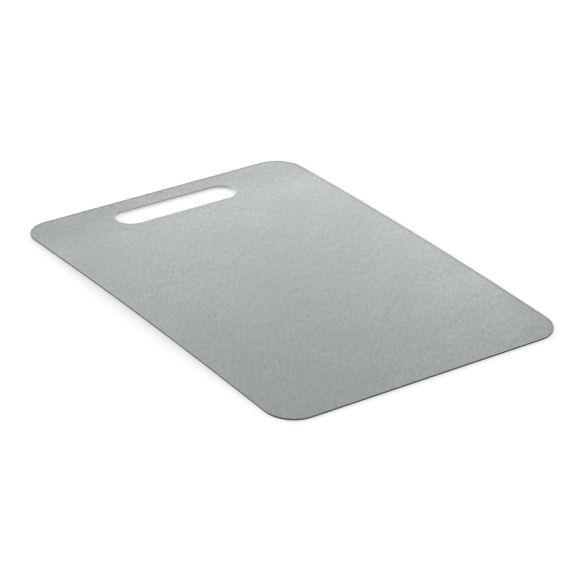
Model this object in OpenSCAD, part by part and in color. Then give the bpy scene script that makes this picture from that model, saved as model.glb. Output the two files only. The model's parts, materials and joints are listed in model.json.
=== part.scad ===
// Flexible kitchen cutting mat with a hand slot, lying flat with its underside on z = 0.
// X runs along the mat with the hand slot near the -X end, Y runs across it, and Z is up.
// The origin is the centre of the underside, and all sizes are in millimetres.
// The mat is a thin cutting ply bonded on top of an anti-slip base ply. Both plies are
// drawn as strips that run along the mat, with a hairline cut between neighbours. The
// strips hinge on the lines along the cuts at the top face, so the long sides can curl
// up into a chute. Strip 0 is the centre one, negative strips lie to the left (-Y) of
// it and positive strips to the right (+Y).

/* [Mat] */
// Length of the mat, from the hand slot end to the far end
mat_length = 350; // [280:1:450]
// Width of the mat, between its long sides
mat_width = 240; // [215:1:320]
// Radius of the four corners
corner_radius = 22.5; // [10:0.5:40]

/* [Plies] */
// Thickness of the cutting ply on top
cutting_ply_thickness = 0.5; // [0.3:0.05:1]
// Thickness of the anti-slip base ply underneath
base_ply_thickness = 0.8; // [0.6:0.05:2]

/* [Hand slot] */
// Length of the slot, across the mat
slot_length = 105; // [80:1:130]
// Width of the slot, along the mat
slot_width = 25.5; // [20:0.5:35]
// Width of the bar between the slot and the end of the mat
handle_bar_width = 17; // [12:0.5:30]

/* [Flex] */
// Distance between two neighbouring hinge lines, which is the width of a strip
strip_pitch = 18.5; // [14:0.5:19]
// Width of the hairline cut between two neighbouring strips
strip_cut = 0.05; // [0.02:0.01:0.1]

/* [Hidden] */
strips_per_side = 6;
slot_centre_x = -mat_length / 2 + handle_bar_width + slot_width / 2;
cutting_ply_colour = [0.73, 0.74, 0.74];
base_ply_colour = [0.42, 0.43, 0.44];
$fn = 96;

// Plan of the mat before the slot is cut: a rectangle with round corners.
module rounded_rectangle(length, width, radius) {
    square([length - 2 * radius, width], center = true);
    square([length, width - 2 * radius], center = true);
    for (x = [-1, 1] * (length / 2 - radius), y = [-1, 1] * (width / 2 - radius))
        translate([x, y]) circle(r = radius);
}

// Plan of the hand slot: straight sides across the mat and half-round ends.
module slot_plan(length, width) {
    straight = length - width;
    square([width, straight], center = true);
    for (y = [-1, 1] * straight / 2)
        translate([0, y]) circle(d = width);
}

module mat_plan() {
    difference() {
        rounded_rectangle(mat_length, mat_width, corner_radius);
        translate([slot_centre_x, 0]) slot_plan(slot_length, slot_width);
    }
}

// Band along the mat that one strip fills, cut back from its neighbours by half a cut.
// The outermost strip of each side takes what is left up to the long side of the mat.
module strip_band(strip) {
    reach = strip_pitch / 2 - strip_cut / 2;
    low = strip == -strips_per_side ? -mat_width / 2 : strip * strip_pitch - reach;
    high = strip == strips_per_side ? mat_width / 2 : strip * strip_pitch + reach;
    translate([-mat_length / 2, low]) square([mat_length, high - low]);
}

// One strip of a ply, from the height of its underside.
module ply_strip(strip, underside, thickness) {
    translate([0, 0, underside])
        linear_extrude(height = thickness)
            intersection() {
                mat_plan();
                strip_band(strip);
            }
}

// Light grey cutting ply, bonded to the base ply under it.
module cutting_ply_strip(strip) {
    color(cutting_ply_colour)
        ply_strip(strip, base_ply_thickness, cutting_ply_thickness);
}

// Darker anti-slip base ply, which lies on the worktop.
module base_ply_strip(strip) {
    color(base_ply_colour)
        ply_strip(strip, 0, base_ply_thickness);
}

cutting_ply_strip(0);  // cutting_ply_centre
base_ply_strip(0);  // base_ply_centre
for (number = [1:strips_per_side]) {
    cutting_ply_strip(-number);
    cutting_ply_strip(number);
    base_ply_strip(-number);
    base_ply_strip(number);
}
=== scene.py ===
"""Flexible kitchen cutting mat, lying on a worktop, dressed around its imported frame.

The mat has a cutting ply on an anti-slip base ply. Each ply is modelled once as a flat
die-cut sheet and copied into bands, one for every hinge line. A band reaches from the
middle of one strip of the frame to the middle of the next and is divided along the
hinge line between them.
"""

import json
import math

import bmesh
import bpy
from bpy.props import FloatProperty, FloatVectorProperty, IntProperty, PointerProperty
from mathutils import Matrix, Vector


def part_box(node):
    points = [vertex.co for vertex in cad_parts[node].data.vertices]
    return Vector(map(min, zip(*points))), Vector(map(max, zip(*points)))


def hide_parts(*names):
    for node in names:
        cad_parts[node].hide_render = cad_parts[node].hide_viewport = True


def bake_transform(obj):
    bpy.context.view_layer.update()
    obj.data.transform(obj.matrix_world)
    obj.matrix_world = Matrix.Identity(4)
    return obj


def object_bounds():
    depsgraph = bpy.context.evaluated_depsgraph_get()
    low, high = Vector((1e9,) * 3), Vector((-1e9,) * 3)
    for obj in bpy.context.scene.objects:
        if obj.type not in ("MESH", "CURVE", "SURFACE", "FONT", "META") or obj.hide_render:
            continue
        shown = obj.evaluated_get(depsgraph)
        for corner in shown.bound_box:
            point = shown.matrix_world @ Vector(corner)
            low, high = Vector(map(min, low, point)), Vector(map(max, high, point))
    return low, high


bl_info = {
    "name": "Flexible cutting mat",
    "version": (1, 0, 0),
    "blender": (4, 5, 0),
    "location": "3D View > Sidebar > Cutting mat",
    "description": "Models the plies of a curling kitchen cutting mat around its frame",
    "category": "Object",
}

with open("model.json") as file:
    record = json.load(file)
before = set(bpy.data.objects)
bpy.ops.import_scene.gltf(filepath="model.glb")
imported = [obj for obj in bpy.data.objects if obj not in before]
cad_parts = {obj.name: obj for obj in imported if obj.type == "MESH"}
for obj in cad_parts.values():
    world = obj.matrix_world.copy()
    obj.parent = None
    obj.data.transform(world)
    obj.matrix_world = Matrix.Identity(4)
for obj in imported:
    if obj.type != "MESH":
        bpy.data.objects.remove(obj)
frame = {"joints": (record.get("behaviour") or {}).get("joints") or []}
CAD_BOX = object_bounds()
MILLIMETRE = 0.001
PLAN_MAP = "sheet_plan"
SIDES = {"left": -1, "right": 1}
CUTTING_LOW, CUTTING_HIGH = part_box("cutting_ply_centre")
BASE_LOW, BASE_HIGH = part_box("base_ply_centre")
# Distances within which points are merged, count as level, and snap to a cut
MERGE_REACH = 0.001 * MILLIMETRE
LEVEL_REACH = 0.01 * MILLIMETRE
CUT_REACH = 0.2 * MILLIMETRE
# Distance past the slot's outline within which a wall face belongs to the slot
SLOT_REACH = 0.5 * MILLIMETRE
# A face whose normal stands up less than this is part of a wall
WALL_NORMAL = 0.95
SHARP_ANGLE = math.radians(20)
RIM_SEGMENTS = 2
# Places of the two wall finishes in a sheet's materials, after that of its face
OUTER_WALL, SLOT_WALL = 1, 2


def hinges(side):
    """The hinge lines of one side, from the middle of the mat outwards."""
    found = [joint for joint in frame["joints"] if joint["name"].startswith(side)]
    return sorted(found, key=lambda joint: abs(joint["pos_m"][1]))


# Sizes and finishes


class MatSizes(bpy.types.PropertyGroup):
    """Sizes of the mat that the frame doesn't give."""

    corner_radius: FloatProperty(
        name="Corner radius",
        description="Radius of the four corners",
        default=22.5 * MILLIMETRE,
        unit="LENGTH",
    )
    slot_length: FloatProperty(
        name="Slot length",
        description="Length of the hand slot, across the mat",
        default=105 * MILLIMETRE,
        unit="LENGTH",
    )
    slot_width: FloatProperty(
        name="Slot width",
        description="Width of the hand slot, along the mat",
        default=25.5 * MILLIMETRE,
        unit="LENGTH",
    )
    handle_bar: FloatProperty(
        name="Handle bar",
        description="Width of the bar between the hand slot and the end of the mat",
        default=17 * MILLIMETRE,
        unit="LENGTH",
    )
    arc_segments: IntProperty(
        name="Arc segments",
        description="Straight pieces in a quarter of a round corner, before smoothing",
        default=12,
    )
    cutting_rim: FloatProperty(
        name="Cutting ply rim",
        description="Rounding of the upper edge that the die leaves",
        default=0.2 * MILLIMETRE,
        unit="LENGTH",
    )
    base_rim: FloatProperty(
        name="Base ply rim",
        description="Rounding of the lower edge of the soft base ply",
        default=0.25 * MILLIMETRE,
        unit="LENGTH",
    )
    resting_bow: FloatProperty(
        name="Resting bow",
        description="How far the middle of the sheet stands off the worktop",
        default=3.2 * MILLIMETRE,
        unit="LENGTH",
    )
    smoothing: IntProperty(
        name="Smoothing",
        description="Levels of the subdivision surface that rounds each band's bend",
        default=2,
    )


class MatFinish(bpy.types.PropertyGroup):
    """Colours and surface textures of the two plies."""

    cutting_colour: FloatVectorProperty(
        name="Cutting ply colour",
        description="Light grey of the embossed cutting face",
        default=(0.4395, 0.467, 0.47),
        subtype="COLOR",
        min=0,
        max=1,
    )
    shaded_cut_wall_colour: FloatVectorProperty(
        name="Shaded cut wall colour",
        description="Grey of the cutting ply's outer cut wall, painted darker than its face as painted shade",
        default=(0.2, 0.21, 0.215),
        subtype="COLOR",
        min=0,
        max=1,
    )
    lit_slot_wall_colour: FloatVectorProperty(
        name="Lit slot wall colour",
        description="Wall round the hand slot, painted nearly white as painted light",
        default=(0.89, 0.91, 0.91),
        subtype="COLOR",
        min=0,
        max=1,
    )
    base_colour: FloatVectorProperty(
        name="Base ply colour",
        description="Darker grey of the anti-slip ply",
        default=(0.085, 0.088, 0.092),
        subtype="COLOR",
        min=0,
        max=1,
    )
    grain_length: FloatProperty(
        name="Grain length",
        description="Length of one streak of the embossed grain, along the mat",
        default=6.2 * MILLIMETRE,
        unit="LENGTH",
    )
    grain_width: FloatProperty(
        name="Grain width",
        description="Width of one streak of the embossed grain",
        default=0.85 * MILLIMETRE,
        unit="LENGTH",
    )
    grain_turn: FloatProperty(
        name="Grain turn",
        description="Angle between the streaks and the long sides",
        default=math.radians(-16),
        subtype="ANGLE",
    )
    grain_depth: FloatProperty(
        name="Grain depth",
        description="Depth of the embossed grain",
        default=0.06 * MILLIMETRE,
        unit="LENGTH",
    )
    grain_contrast: FloatProperty(
        name="Grain contrast",
        description="How much lighter the ridges and darker the troughs of the grain are",
        default=0.122,
    )
    bar_shade_share: FloatProperty(
        name="Bar shade share",
        description="Share of the brightness that painted shade leaves on the handle bar",
        default=0.76,
        min=0,
        max=1,
    )
    rim_shade_share: FloatProperty(
        name="Rim shade share",
        description="Share of the brightness that painted shade leaves along the far rims",
        default=0.84,
        min=0,
        max=1,
    )
    pebble_pitch: FloatProperty(
        name="Pebble pitch",
        description="Distance between the pebbles of the anti-slip underside",
        default=1.4 * MILLIMETRE,
        unit="LENGTH",
    )


class MatStage(bpy.types.PropertyGroup):
    """Camera, floor and lamps."""

    azimuth: FloatProperty(
        name="Camera azimuth",
        description="Direction in which the camera stands, 0 at the left long side",
        default=math.radians(55.007),
        subtype="ANGLE",
    )
    elevation: FloatProperty(
        name="Camera elevation",
        description="Height of the camera above the horizon",
        default=math.radians(27.39),
        subtype="ANGLE",
    )
    roll: FloatProperty(
        name="Camera roll",
        description="Tilt of the camera about its line of sight",
        default=math.radians(0.8166),
        subtype="ANGLE",
    )
    distance: FloatProperty(
        name="Camera distance",
        description="Distance from the camera to the point that it aims at",
        default=1.8765,
        unit="LENGTH",
    )
    aim: FloatVectorProperty(
        name="Camera aim",
        description="Point that the camera aims at",
        default=(0.02033, -0.00623, -0.0002),
        subtype="XYZ",
        unit="LENGTH",
    )
    field_of_view: FloatProperty(
        name="Field of view",
        description="Angle that the square picture takes in",
        default=math.radians(12.757),
        subtype="ANGLE",
    )
    floor_size: FloatProperty(
        name="Floor size",
        description="Side of the square floor",
        default=9,
        unit="LENGTH",
    )
    room_light: FloatProperty(
        name="Room light",
        description="Strength of the even light from all round",
        default=0.3,
    )
    floor_paint: FloatProperty(
        name="Floor paint",
        description="Brightness of the floor's paint, which sets how deep the shadow is",
        default=0.93,
        min=0,
        max=1,
    )
    floor_white: FloatProperty(
        name="Floor white",
        description="Level to which the open floor is lifted in the camera's view",
        default=1.045,
    )


# Modelling helpers


def start_clean():
    """Leave nothing selected, so that an operator acts on the new piece alone."""
    if bpy.context.object and bpy.context.object.mode != "OBJECT":
        bpy.ops.object.mode_set(mode="OBJECT")
    bpy.ops.object.select_all(action="DESELECT")


def take(piece):
    """Make one piece the selected and active object."""
    start_clean()
    piece.select_set(True)
    bpy.context.view_layer.objects.active = piece


def pick(kind, test):
    """In edit mode, select only the parts of kind EDGE or FACE that pass the test."""
    bpy.ops.mesh.select_mode(type=kind)
    bpy.ops.mesh.select_all(action="DESELECT")
    mesh = bpy.context.object.data
    form = bmesh.from_edit_mesh(mesh)
    for part in form.edges if kind == "EDGE" else form.faces:
        if test(part):
            part.select_set(True)
    form.select_flush_mode()
    bmesh.update_edit_mesh(mesh)


def slice_at(axis, place, keep=0):
    """Cut the whole piece across one axis. With keep 1 or -1, only that side stays."""
    normal = [0, 0, 0]
    normal[axis] = 1
    point = [0, 0, 0]
    point[axis] = place
    bpy.ops.mesh.select_all(action="SELECT")
    bpy.ops.mesh.bisect(
        plane_co=point,
        plane_no=normal,
        use_fill=keep != 0,
        clear_inner=keep > 0,
        clear_outer=keep < 0,
        threshold=LEVEL_REACH if keep else CUT_REACH,
    )


def rounded_plate(name, centre_x, length, width, top, radius, segments):
    """Add a plane at its size and place and round its corners. Stays in edit mode."""
    start_clean()
    bpy.ops.mesh.primitive_plane_add(size=1, location=(centre_x, 0, top))
    plate = bpy.context.object
    plate.name = name
    bpy.ops.transform.resize(value=(length, width, 1))
    bpy.ops.object.transform_apply(location=True, rotation=True, scale=True)
    bpy.ops.object.mode_set(mode="EDIT")
    bpy.ops.mesh.select_all(action="SELECT")
    bpy.ops.mesh.bevel(offset=radius, segments=segments, affect="VERTICES", profile=0.5)
    bpy.ops.mesh.select_all(action="SELECT")
    bpy.ops.mesh.remove_doubles(threshold=MERGE_REACH)
    return plate


def give_thickness(depth):
    """Extrude the flat outline downwards into a closed plate."""
    bpy.ops.mesh.select_all(action="SELECT")
    bpy.ops.mesh.extrude_region_move(TRANSFORM_OT_translate={"value": (0, 0, -depth)})
    bpy.ops.mesh.select_all(action="SELECT")
    bpy.ops.mesh.normals_make_consistent(inside=False)


def is_wall(face):
    return abs(face.normal.z) < WALL_NORMAL


def is_flat(face):
    return not is_wall(face)


def slot_centre_x(sizes):
    return CAD_BOX[0].x + sizes.handle_bar + sizes.slot_width / 2


def in_slot(face, sizes):
    """Whether the middle of a face lies in the hand slot or close round it."""
    middle = face.calc_center_median()
    across = abs(middle.x - slot_centre_x(sizes)) - sizes.slot_width / 2
    along = abs(middle.y) - sizes.slot_length / 2
    return max(across, along) < SLOT_REACH


def die_cut_sheet(name, sizes, low, high, rim_height, rim):
    """Model one whole ply: outline, hand slot and the rounding that the die leaves."""
    length = CAD_BOX[1].x - CAD_BOX[0].x
    width = CAD_BOX[1].y - CAD_BOX[0].y
    slot_x = slot_centre_x(sizes)
    overshoot = sizes.slot_width
    cutter = rounded_plate(
        name + "_slot_cutter",
        slot_x,
        sizes.slot_width,
        sizes.slot_length,
        high + overshoot,
        sizes.slot_width / 2,
        sizes.arc_segments,
    )
    give_thickness(3 * overshoot)
    sheet = rounded_plate(
        name, 0, length, width, high, sizes.corner_radius, sizes.arc_segments
    )
    slice_at(1, 0)
    slice_at(0, slot_x)
    give_thickness(high - low)
    bpy.ops.object.mode_set(mode="OBJECT")
    bpy.ops.object.modifier_add(type="BOOLEAN")
    cut = sheet.modifiers[-1]
    cut.operation = "DIFFERENCE"
    cut.solver = "EXACT"
    cut.object = cutter
    bpy.ops.object.modifier_apply(modifier=cut.name)
    bpy.data.objects.remove(cutter)
    bpy.ops.object.mode_set(mode="EDIT")
    pick(
        "EDGE",
        lambda edge: (
            all(abs(vert.co.z - rim_height) < LEVEL_REACH for vert in edge.verts)
            and any(is_wall(face) for face in edge.link_faces)
        ),
    )
    bpy.ops.mesh.bevel(
        offset=rim,
        segments=RIM_SEGMENTS,
        affect="EDGES",
        profile=0.5,
        clamp_overlap=False,
    )
    bpy.ops.mesh.select_all(action="SELECT")
    bpy.ops.uv.cube_project(cube_size=1)
    sheet.data.uv_layers.active.name = PLAN_MAP
    bpy.ops.object.mode_set(mode="OBJECT")
    return sheet


def column_places(sizes):
    """Places along the mat at which every band is divided across."""
    end = CAD_BOX[1].x
    arc_start = end - sizes.corner_radius
    arc_middle = arc_start + sizes.corner_radius * math.sin(math.pi / 4)
    slot_x = slot_centre_x(sizes)
    slot_edge = slot_x + sizes.slot_width / 2
    cells = 8
    step = (arc_start - slot_edge) / cells
    places = [-arc_middle, -arc_start, slot_x - sizes.slot_width / 2, slot_x]
    places += [slot_edge + step * number for number in range(cells + 1)]
    return places + [arc_middle]


def cut_band(sheet, name, sizes, side, number, rim_height, rim):
    """Copy the sheet and keep the band that reaches across one hinge line."""
    sign = SIDES[side]
    lines = [0] + [joint["pos_m"][1] for joint in hinges(side)]
    inner = (lines[number] + lines[number - 1]) / 2 if number > 1 else 0
    take(sheet)
    bpy.ops.object.duplicate()
    band = bpy.context.object
    band.name = name
    band.data.name = name
    bpy.ops.object.mode_set(mode="EDIT")
    slice_at(1, inner, keep=sign)
    if number + 1 < len(lines):
        slice_at(1, (lines[number] + lines[number + 1]) / 2, keep=-sign)
    else:
        arc_middle = CAD_BOX[1].y - sizes.corner_radius * (1 - math.sin(math.pi / 4))
        slice_at(1, sign * arc_middle)
    slice_at(1, lines[number])
    for place in column_places(sizes):
        slice_at(0, place)
    pick("FACE", lambda face: is_flat(face) and len(face.verts) > 4)
    bpy.ops.mesh.quads_convert_to_tris(quad_method="BEAUTY", ngon_method="BEAUTY")
    bpy.ops.mesh.tris_convert_to_quads()
    pick("FACE", is_wall)
    band.active_material_index = OUTER_WALL
    bpy.ops.object.material_slot_assign()
    pick("FACE", lambda face: is_wall(face) and in_slot(face, sizes))
    band.active_material_index = SLOT_WALL
    bpy.ops.object.material_slot_assign()
    bpy.ops.mesh.select_mode(type="EDGE")
    bpy.ops.mesh.select_all(action="DESELECT")
    bpy.ops.mesh.edges_select_sharp(sharpness=SHARP_ANGLE)
    form = bmesh.from_edit_mesh(band.data)
    for edge in form.edges:
        depths = [abs(vert.co.z - rim_height) for vert in edge.verts]
        if min(depths) > 0.1 * rim and max(depths) < 0.9 * rim:
            # This line lies within the rim's rounding and stays smooth
            edge.select_set(False)
    bmesh.update_edit_mesh(band.data)
    bpy.ops.transform.edge_crease(value=1)
    bpy.ops.mesh.mark_sharp()
    bpy.ops.object.mode_set(mode="OBJECT")
    return band


def rest_bowed(band, sizes):
    """Arch the band along the mat, with both ends on the worktop."""
    length = CAD_BOX[1].x - CAD_BOX[0].x
    start_clean()
    bpy.ops.object.empty_add(rotation=(math.pi / 2, 0, 0))
    upright = bpy.context.object
    take(band)
    bpy.ops.object.modifier_add(type="SIMPLE_DEFORM")
    bow = band.modifiers[-1]
    bow.deform_method = "BEND"
    bow.deform_axis = "Z"
    bow.origin = upright
    # A shallow arc turns by 8 times its rise over its length
    bow.angle = -8 * sizes.resting_bow / length
    bpy.ops.object.modifier_apply(modifier=bow.name)
    bpy.data.objects.remove(upright)
    bpy.ops.object.mode_set(mode="EDIT")
    bpy.ops.mesh.select_all(action="SELECT")
    bpy.ops.transform.translate(value=(0, 0, sizes.resting_bow))
    bpy.ops.object.mode_set(mode="OBJECT")


def finish_band(band, sizes, ply, side, number):
    """Smooth the band and hide the frame's parts that it stands in for."""
    bpy.ops.object.shade_smooth()
    bpy.ops.object.modifier_add(type="SUBSURF")
    smooth = band.modifiers[-1]
    smooth.levels = smooth.render_levels = sizes.smoothing
    smooth.uv_smooth = "PRESERVE_BOUNDARIES"
    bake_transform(band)
    nodes = [f"{ply}_{side}_{number}"]
    if number == 1:
        nodes.append(f"{ply}_centre")
    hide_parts(*nodes)


def make_bands(ply, sheet, sizes, rim_height, rim, materials):
    """Divide a sheet into its bands and take the whole sheet away."""
    for material in materials:
        sheet.data.materials.append(material)
    for side in SIDES:
        for number in range(1, len(hinges(side)) + 1):
            name = f"{ply.replace('ply', 'sheet')}_{side}_{number}"
            band = cut_band(sheet, name, sizes, side, number, rim_height, rim)
            rest_bowed(band, sizes)
            finish_band(band, sizes, ply, side, number)
    bpy.data.objects.remove(sheet)


# Materials

# Nearly all values of a noise lie in this range
NOISE_RANGE = (0.3, 0.7)
WHOLE = (0, 1)
# Widths of the bands along the rims that are rubbed, that get painted shade, and that get
# the full painted shade
RUBBED_BAND = 2.8 * MILLIMETRE
RIM_SHADE_WIDTH = 4 * MILLIMETRE
RIM_SHADE_CORE = 1 * MILLIMETRE
# Distance from the diagonal over which the painted shade along the rims fades out
RIM_SHADE_FADE = 10 * MILLIMETRE
# Fineness of the die's marks across and up the wall, per metre
DIE_MARKS = (2600, 2600, 300)


class Finish:
    """A node material under construction."""

    # Nodes in one column of the editor, and the distance between two of them
    rows = 4
    spacing = 240

    def __init__(self, name):
        self.material = bpy.data.materials.new(name)
        self.material.use_nodes = True
        self.tree = self.material.node_tree
        self.shader = self.tree.nodes["Principled BSDF"]
        self.count = 0

    def add(self, kind, label, inputs=None, **settings):
        """Add a node, set it up, and link or set its inputs."""
        node = self.tree.nodes.new("ShaderNode" + kind)
        node.label = label
        column, row = divmod(self.count, self.rows)
        node.location = (-self.spacing * (column + 1), -self.spacing * row)
        self.count += 1
        for key, value in settings.items():
            setattr(node, key, value)
        for key, value in (inputs or {}).items():
            self.feed(node, key, value)
        return node

    def feed(self, node, key, value):
        """Link a socket to an input, or set the input to a plain value."""
        if isinstance(value, bpy.types.NodeSocket):
            self.tree.links.new(value, node.inputs[key])
        else:
            node.inputs[key].default_value = value

    def math(self, operation, label, *values):
        inputs = dict(enumerate(values))
        return self.add("Math", label, inputs, operation=operation).outputs[0]

    def vector(self, operation, label, *values):
        inputs = dict(enumerate(values))
        node = self.add("VectorMath", label, inputs, operation=operation)
        gives_number = operation in {"LENGTH", "DOT_PRODUCT"}
        return node.outputs["Value" if gives_number else "Vector"]

    def between(self, label, value, source, target):
        """Map a value from one range to another, kept within the second."""
        inputs = dict(enumerate((value, *source, *target)))
        return self.add("MapRange", label, inputs).outputs[0]

    def tint(self, label, factor, first, second, blend_type="MIX"):
        """Mix two colours by a factor."""
        node = self.add("Mix", label, data_type="RGBA", blend_type=blend_type)
        self.feed(node, 0, factor)
        self.feed(node, 6, first)
        self.feed(node, 7, second)
        return node.outputs[2]

    def darken(self, label, factor, colour, share):
        """Where the factor is 1, leave only this share of the colour's brightness."""
        return self.tint(label, factor, colour, shade([1, 1, 1], share), "MULTIPLY")

    def noise(self, label, place, scale, detail, roughness=0.5, distortion=0):
        inputs = {
            "Vector": place,
            "Scale": scale,
            "Detail": detail,
            "Roughness": roughness,
            "Distortion": distortion,
        }
        return self.add("TexNoise", label, inputs).outputs[0]

    def coat(self, colour, roughness, label, height, depth, strength=1):
        """Give the shader its colour, its roughness and a relief of this depth."""
        inputs = {"Height": height, "Strength": strength, "Distance": depth}
        bump = self.add("Bump", label, inputs)
        self.feed(self.shader, "Base Color", colour)
        self.feed(self.shader, "Roughness", roughness)
        self.feed(self.shader, "Normal", bump.outputs[0])


def shade(colour, factor):
    """A colour made lighter or darker, with full cover."""
    return [channel * factor for channel in colour] + [1]


def plan_place(finish):
    """The place on the flat sheet, in metres from its middle, which curls with it."""
    plan = finish.add("UVMap", "flat sheet", uv_map=PLAN_MAP)
    middle = (0.5, 0.5, 0)
    return finish.vector("SUBTRACT", "from the middle", plan.outputs[0], middle)


def rim_distances(finish, place, sizes):
    """How far beyond the outer edge and beyond the slot's rim a place is, below 0 inside."""
    half_length, half_width = CAD_BOX[1].x, CAD_BOX[1].y
    radius = sizes.corner_radius
    folded = finish.vector("ABSOLUTE", "one quarter", place)
    core = (half_length - radius, half_width - radius, 0)
    beyond = finish.vector("SUBTRACT", "beyond the core", folded, core)
    beyond = finish.vector("MAXIMUM", "outside only", beyond, (0, 0, 0))
    from_core = finish.vector("LENGTH", "from the core", beyond)
    outer = finish.math("SUBTRACT", "to the edge", from_core, radius)
    slot_x = slot_centre_x(sizes)
    straight = (sizes.slot_length - sizes.slot_width) / 2
    shifted = finish.vector("SUBTRACT", "from the slot", place, (slot_x, 0, 0))
    shifted = finish.vector("ABSOLUTE", "slot quarter", shifted)
    shifted = finish.vector("SUBTRACT", "past the straight", shifted, (0, straight, 0))
    shifted = finish.vector("MAXIMUM", "round end only", shifted, (0, 0, 0))
    from_line = finish.vector("LENGTH", "from the slot line", shifted)
    inner = finish.math("SUBTRACT", "slot radius", sizes.slot_width / 2, from_line)
    return outer, inner


def near_edge(finish, place, sizes):
    """1 at the outer edge and at the rim of the slot, falling to 0 some way inside."""
    nearest = finish.math("MAXIMUM", "nearest rim", *rim_distances(finish, place, sizes))
    return finish.between("rim band", nearest, (-RUBBED_BAND, 0), WHOLE)


def rim_shade_band(finish, place, sizes):
    """1 at the outer edges of the handle end and the right side, where shade is painted, 0
    at the other two.
    """
    outer = rim_distances(finish, place, sizes)[0]
    band = finish.between("painted rim shade band", outer, (-RIM_SHADE_WIDTH, -RIM_SHADE_CORE), WHOLE)
    across = Vector((-CAD_BOX[1].y, CAD_BOX[1].x, 0)).normalized()
    lean = finish.vector("DOT_PRODUCT", "side of the diagonal", place, across)
    worn = finish.between("painted rim shade sides", lean, (-RIM_SHADE_FADE, RIM_SHADE_FADE), WHOLE)
    return finish.math("MULTIPLY", "painted rim shade share", band, worn)


def embossed_face(values, sizes):
    """Light grey cutting face with a fine streaky grain, worn along its rims, with painted
    shade on the handle bar and along the far rims.
    """
    finish = Finish("embossed cutting face")
    place = plan_place(finish)
    streak = finish.add(
        "Mapping",
        "streaks along the mat",
        {
            "Vector": place,
            "Rotation": (0, 0, values.grain_turn),
            "Scale": (values.grain_length, values.grain_width, 1),
        },
        vector_type="TEXTURE",
    ).outputs[0]
    streaks = finish.noise("streaks", streak, scale=1, detail=0, distortion=0.3)
    cloud = finish.noise("handling", place, scale=28, detail=3, roughness=0.55)
    pores = finish.noise("pores", place, scale=1800, detail=1)
    pore_share = 0.3
    relief = finish.between("grain relief", streaks, NOISE_RANGE, WHOLE)
    pitted = finish.math("MULTIPLY_ADD", "grain with pores", pores, pore_share, relief)
    rub = finish.math("MULTIPLY", "rubbed rim", near_edge(finish, place, sizes), cloud)
    # Band along the far rims where shade is painted and the finish is a little rougher
    rim_shade = rim_shade_band(finish, place, sizes)
    colour = values.cutting_colour
    trough = shade(colour, 1 - values.grain_contrast)
    ridge = shade(colour, 1 + values.grain_contrast)
    base = finish.tint("streak colour", relief, trough, ridge)
    evened = finish.between("handling contrast", cloud, (0.35, 0.65), (0, 0.4))
    base = finish.tint("handled colour", evened, base, shade(colour, 1))
    # The painted shade on the handle bar fades out over one and a half widths of the slot
    grip = CAD_BOX[0].x + sizes.handle_bar
    grip_end = grip + 1.5 * sizes.slot_width
    along = finish.vector("DOT_PRODUCT", "place along the mat", place, (1, 0, 0))
    bar = finish.between("bar or not", along, (grip, grip_end), (1, 0))
    base = finish.darken("painted shade on the handle bar", bar, base, values.bar_shade_share)
    # Painted shade along the outer rims of the handle end and the right side
    base = finish.darken("painted shade on the far rims", rim_shade, base, values.rim_shade_share)
    # The roughness falls from trough to ridge and varies a little with handling
    rough = finish.between("grain gloss", relief, WHOLE, (0.56, 0.44))
    handled = finish.between("handling", cloud, NOISE_RANGE, (-0.03, 0.03))
    rough = finish.math("ADD", "handled gloss", rough, handled)
    rub_polish, rim_shade_blur = -0.1, 0.12
    rough = finish.math("MULTIPLY_ADD", "rubbed rim gloss", rub, rub_polish, rough)
    rough = finish.math("MULTIPLY_ADD", "far rim gloss", rim_shade, rim_shade_blur, rough)
    finish.coat(base, rough, "grain relief", pitted, values.grain_depth)
    finish.feed(finish.shader, "Specular IOR Level", 0.5)
    return finish.material


def die_cut_wall(name, colour, roughness):
    """Cut wall of a ply or of the slot in it, with fine upright marks of the die."""
    finish = Finish(name)
    place = finish.add("TexCoord", "place").outputs["Object"]
    inputs = {"Vector": place, "Scale": DIE_MARKS}
    upright = finish.add("Mapping", "upright marks", inputs).outputs[0]
    marks = finish.noise("die marks", upright, scale=1, detail=2, roughness=0.6)
    cloud = finish.noise("uneven cut", place, scale=60, detail=2)
    contrast = finish.between("mark contrast", marks, NOISE_RANGE, WHOLE)
    groove, land = shade(colour, 0.9), shade(colour, 1.08)
    base = finish.tint("cut colour", contrast, groove, land)
    unevenness = 0.06
    limits = (roughness - unevenness, roughness + unevenness)
    rough = finish.between("cut gloss", cloud, NOISE_RANGE, limits)
    mark_depth = 0.02 * MILLIMETRE
    finish.coat(base, rough, "mark relief", marks, mark_depth, strength=0.6)
    return finish.material


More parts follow.
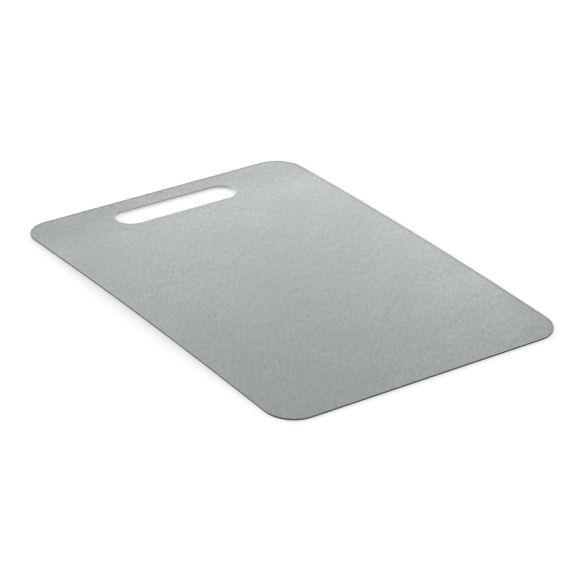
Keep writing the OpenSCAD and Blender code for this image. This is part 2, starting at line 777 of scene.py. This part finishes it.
def anti_slip_face(values, sizes):
    """Dark matte underside with a pebbled grip, rubbed smooth along its rims."""
    finish = Finish("anti-slip underside")
    place = plan_place(finish)
    pebble = finish.add(
        "TexVoronoi",
        "pebbles",
        {"Vector": place, "Scale": 1 / values.pebble_pitch, "Randomness": 0.35},
        feature="F1",
    ).outputs["Distance"]
    skin = finish.noise("rubber skin", place, scale=2200, detail=2, roughness=0.6)
    cloud = finish.noise("dusting", place, scale=35, detail=3, roughness=0.55)
    skin_share = 0.25
    dome = finish.between("rounded pebbles", pebble, (0.15, 0.6), (1, 0))
    relief = finish.math("MULTIPLY_ADD", "pebbles and skin", skin, skin_share, dome)
    rub = finish.math("MULTIPLY", "rubbed rim", near_edge(finish, place, sizes), cloud)
    colour = values.base_colour
    gap, top = shade(colour, 0.86), shade(colour, 1.06)
    dusty, bare = shade(colour, 1.22), shade(colour, 1.3)
    base = finish.tint("pebble colour", dome, gap, top)
    dust = finish.between("dust contrast", cloud, (0.4, 0.75), (0, 0.45))
    base = finish.tint("dusted colour", dust, base, dusty)
    worn = finish.between("rim contrast", rub, (0.2, 0.7), (0, 0.5))
    base = finish.tint("rim colour", worn, base, bare)
    # The roughness falls from the gaps to the tops of the pebbles
    rough = finish.between("pebble gloss", dome, WHOLE, (0.82, 0.66))
    rub_polish = -0.1
    rough = finish.math("MULTIPLY_ADD", "rim gloss", rub, rub_polish, rough)
    relief_depth = 0.06 * MILLIMETRE
    finish.coat(base, rough, "grip relief", relief, relief_depth, strength=0.9)
    finish.feed(finish.shader, "Specular IOR Level", 0.4)
    return finish.material


# Operators


class CUTTING_MAT_OT_cutting_sheet(bpy.types.Operator):
    """Model the light cutting ply in bands, one across each hinge line of the frame"""

    bl_idname = "cutting_mat.cutting_sheet"
    bl_label = "Cutting ply"

    def execute(self, context):
        sizes, values = context.scene.mat_sizes, context.scene.mat_finish
        rim = sizes.cutting_rim
        sheet = die_cut_sheet(
            "cutting_sheet", sizes, CUTTING_LOW.z, CUTTING_HIGH.z, CUTTING_HIGH.z, rim
        )
        outer, slot = values.shaded_cut_wall_colour, values.lit_slot_wall_colour
        materials = [
            embossed_face(values, sizes),
            # The cutting ply's cut wall is painted darker than its face, a painted shade
            die_cut_wall("cut wall of the cutting ply", outer, roughness=0.5),
            # The cutting ply's slot wall is painted nearly white, a painted light
            die_cut_wall("upper slot wall", slot, roughness=0.5),
        ]
        make_bands("cutting_ply", sheet, sizes, CUTTING_HIGH.z, rim, materials)
        return {"FINISHED"}


class CUTTING_MAT_OT_base_sheet(bpy.types.Operator):
    """Model the dark anti-slip base ply in bands, one across each hinge line of the frame"""

    bl_idname = "cutting_mat.base_sheet"
    bl_label = "Base ply"

    def execute(self, context):
        sizes, values = context.scene.mat_sizes, context.scene.mat_finish
        rim = sizes.base_rim
        sheet = die_cut_sheet(
            "base_sheet", sizes, BASE_LOW.z, BASE_HIGH.z, BASE_LOW.z, rim
        )
        outer, slot = values.base_colour, values.lit_slot_wall_colour
        materials = [
            anti_slip_face(values, sizes),
            die_cut_wall("cut wall of the base ply", outer, roughness=0.72),
            # The base ply's slot wall is painted nearly white, a painted light
            die_cut_wall("lower slot wall", slot, roughness=0.6),
        ]
        make_bands("base_ply", sheet, sizes, BASE_LOW.z, rim, materials)
        return {"FINISHED"}


def add_camera(stage):
    """Put the camera at the photographed angle."""
    turn = (
        Matrix.Rotation(stage.azimuth, 3, "Z")
        @ Matrix.Rotation(math.pi / 2 - stage.elevation, 3, "X")
        @ Matrix.Rotation(stage.roll, 3, "Z")
    )
    place = [
        aim + stage.distance * back for aim, back in zip(stage.aim, turn.col[2])
    ]
    bpy.ops.object.camera_add(location=place, rotation=turn.to_euler())
    camera = bpy.context.object
    camera.name = "camera"
    camera.data.angle = stage.field_of_view
    camera.data.clip_end = 50
    bpy.context.scene.camera = camera


# Azimuth and elevation in degrees, distance, diameter and power of each round lamp
LAMPS = {
    "right softbox": (210, 20, 0.5, 0.185, 0.58),
    "far end softbox": (240, 20, 1, 0.5, 2.24),
    "far left softbox": (300, 16, 1.4, 0.55, 9.5),
}
# Rays that see the background by way of gloss or through something clear
MIRRORED_RAYS = ("Is Glossy Ray", "Is Transmission Ray")


def round_the_mat(azimuth, elevation):
    """Direction from the mat to a place round it, with azimuth 0 at the left side."""
    flat = math.cos(elevation)
    return Vector(
        (math.sin(azimuth) * flat, -math.cos(azimuth) * flat, math.sin(elevation))
    )


def lamp_on_floor(finish, place, lamp):
    """Brightness that one round lamp gives a white floor where nothing is in its way.

    It is power * height * along / (pi^2 * distance^2 * (distance^2 + radius^2)), where
    along is the distance measured along the lamp's axis.
    """
    azimuth, elevation, distance, size, power = lamp
    outwards = round_the_mat(math.radians(azimuth), math.radians(elevation))
    height = outwards.z * distance
    way = finish.vector("SUBTRACT", "way to the lamp", outwards * distance, place)
    along = finish.vector("DOT_PRODUCT", "along the lamp's axis", way, outwards)
    near = finish.vector("DOT_PRODUCT", "distance squared", way, way)
    spread = finish.math("ADD", "and the lamp's radius", near, (size / 2) ** 2)
    both = finish.math("MULTIPLY", "both", near, spread)
    fall_off = finish.math("DIVIDE", "fall-off", along, both)
    return finish.math("MULTIPLY", "lamp's share", fall_off, power * height / math.pi**2)


def add_floor(stage):
    """Lay a large floor with a rounded edge under the mat."""
    thickness, rounding = 0.03, 0.02
    start_clean()
    bpy.ops.mesh.primitive_plane_add(size=stage.floor_size, location=(0, 0, 0))
    floor = bpy.context.object
    floor.name = "floor"
    bpy.ops.object.mode_set(mode="EDIT")
    give_thickness(thickness)
    pick("EDGE", lambda edge: all(vert.co.z > -thickness / 2 for vert in edge.verts))
    bpy.ops.mesh.bevel(offset=rounding, segments=4, affect="EDGES")
    bpy.ops.object.mode_set(mode="OBJECT")
    finish = Finish("white floor")
    finish.tree.nodes.remove(finish.shader)
    rays = finish.add("LightPath", "ray kind")
    seen = rays.outputs["Is Camera Ray"]
    for kind in MIRRORED_RAYS:
        seen = finish.math("ADD", "or " + kind, seen, rays.outputs[kind])
    place = finish.add("TexCoord", "place").outputs["Object"]
    lit = stage.room_light
    for lamp in LAMPS.values():
        lit = finish.math("ADD", "all lamps", lit, lamp_on_floor(finish, place, lamp))
    lit = finish.math("MULTIPLY", "painted brightness", lit, stage.floor_paint)
    lift = finish.math("SUBTRACT", "what white still lacks", stage.floor_white, lit)
    lift = finish.math("MAXIMUM", "never darker", lift, 0)
    lift = finish.math("MULTIPLY", "lift in the view", lift, seen)
    white = shade([1, 1, 1], stage.floor_paint)
    paint = finish.add("BsdfDiffuse", "white paint", {"Color": white})
    glow = finish.add("Emission", "lift to white", {"Strength": lift})
    both = finish.add("AddShader", "painted floor")
    finish.feed(both, 0, paint.outputs[0])
    finish.feed(both, 1, glow.outputs[0])
    output = finish.tree.nodes["Material Output"]
    finish.feed(output, "Surface", both.outputs[0])
    floor.data.materials.append(finish.material)


def add_world(stage):
    """Even light from all round, seen as plain white by camera and gloss."""
    world = bpy.data.worlds.new("studio")
    world.use_nodes = True
    bpy.context.scene.world = world
    tree = world.node_tree
    even = tree.nodes["Background"]
    even.inputs["Color"].default_value = (1, 1, 1, 1)
    even.inputs["Strength"].default_value = stage.room_light
    white = tree.nodes.new("ShaderNodeBackground")
    white.inputs["Color"].default_value = (1, 1, 1, 1)
    rays = tree.nodes.new("ShaderNodeLightPath")
    seen = rays.outputs["Is Camera Ray"]
    for kind in MIRRORED_RAYS:
        either = tree.nodes.new("ShaderNodeMath")
        either.operation = "MAXIMUM"
        tree.links.new(seen, either.inputs[0])
        tree.links.new(rays.outputs[kind], either.inputs[1])
        seen = either.outputs[0]
    mix = tree.nodes.new("ShaderNodeMixShader")
    tree.links.new(seen, mix.inputs[0])
    tree.links.new(even.outputs[0], mix.inputs[1])
    tree.links.new(white.outputs[0], mix.inputs[2])
    tree.links.new(mix.outputs[0], tree.nodes["World Output"].inputs["Surface"])


def add_lamps():
    """Add the soft lamps, each turned towards the middle of the mat."""
    for name, (azimuth, elevation, distance, size, power) in LAMPS.items():
        outwards = round_the_mat(math.radians(azimuth), math.radians(elevation))
        turn = (-outwards).to_track_quat("-Z", "Y").to_euler()
        bpy.ops.object.light_add(
            type="AREA", location=outwards * distance, rotation=turn
        )
        lamp = bpy.context.object
        lamp.name = name
        lamp.data.shape = "DISK"
        lamp.data.size = size
        lamp.data.energy = power
        lamp.visible_camera = False


class CUTTING_MAT_OT_stage(bpy.types.Operator):
    """Add the white floor, the soft lamps and the camera"""

    bl_idname = "cutting_mat.stage"
    bl_label = "Stage"

    def execute(self, context):
        stage = context.scene.mat_stage
        add_camera(stage)
        add_floor(stage)
        add_world(stage)
        add_lamps()
        context.scene.view_settings.view_transform = "Standard"
        return {"FINISHED"}


class CUTTING_MAT_PT_panel(bpy.types.Panel):
    """Lists the steps that build the mat, with their sizes and colours"""

    bl_idname = "CUTTING_MAT_PT_panel"
    bl_label = "Flexible cutting mat"
    bl_space_type = "VIEW_3D"
    bl_region_type = "UI"
    bl_category = "Cutting mat"

    def draw(self, context):
        scene = context.scene
        for group in (scene.mat_sizes, scene.mat_finish, scene.mat_stage):
            box = self.layout.box()
            for name in group.bl_rna.properties.keys():
                if name not in {"rna_type", "name"}:
                    box.prop(group, name)
        for operator in OPERATORS:
            self.layout.operator(operator.bl_idname)


GROUPS = {"mat_sizes": MatSizes, "mat_finish": MatFinish, "mat_stage": MatStage}
OPERATORS = (
    CUTTING_MAT_OT_cutting_sheet,
    CUTTING_MAT_OT_base_sheet,
    CUTTING_MAT_OT_stage,
)


def register():
    for group in (*GROUPS.values(), *OPERATORS, CUTTING_MAT_PT_panel):
        bpy.utils.register_class(group)
    for name, group in GROUPS.items():
        setattr(bpy.types.Scene, name, PointerProperty(type=group))


def unregister():
    for name in GROUPS:
        delattr(bpy.types.Scene, name)
    for group in reversed((*GROUPS.values(), *OPERATORS, CUTTING_MAT_PT_panel)):
        bpy.utils.unregister_class(group)


def main():
    register()
    bpy.ops.cutting_mat.cutting_sheet()
    bpy.ops.cutting_mat.base_sheet()
    bpy.ops.cutting_mat.stage()


if __name__ == "__main__":
    main()
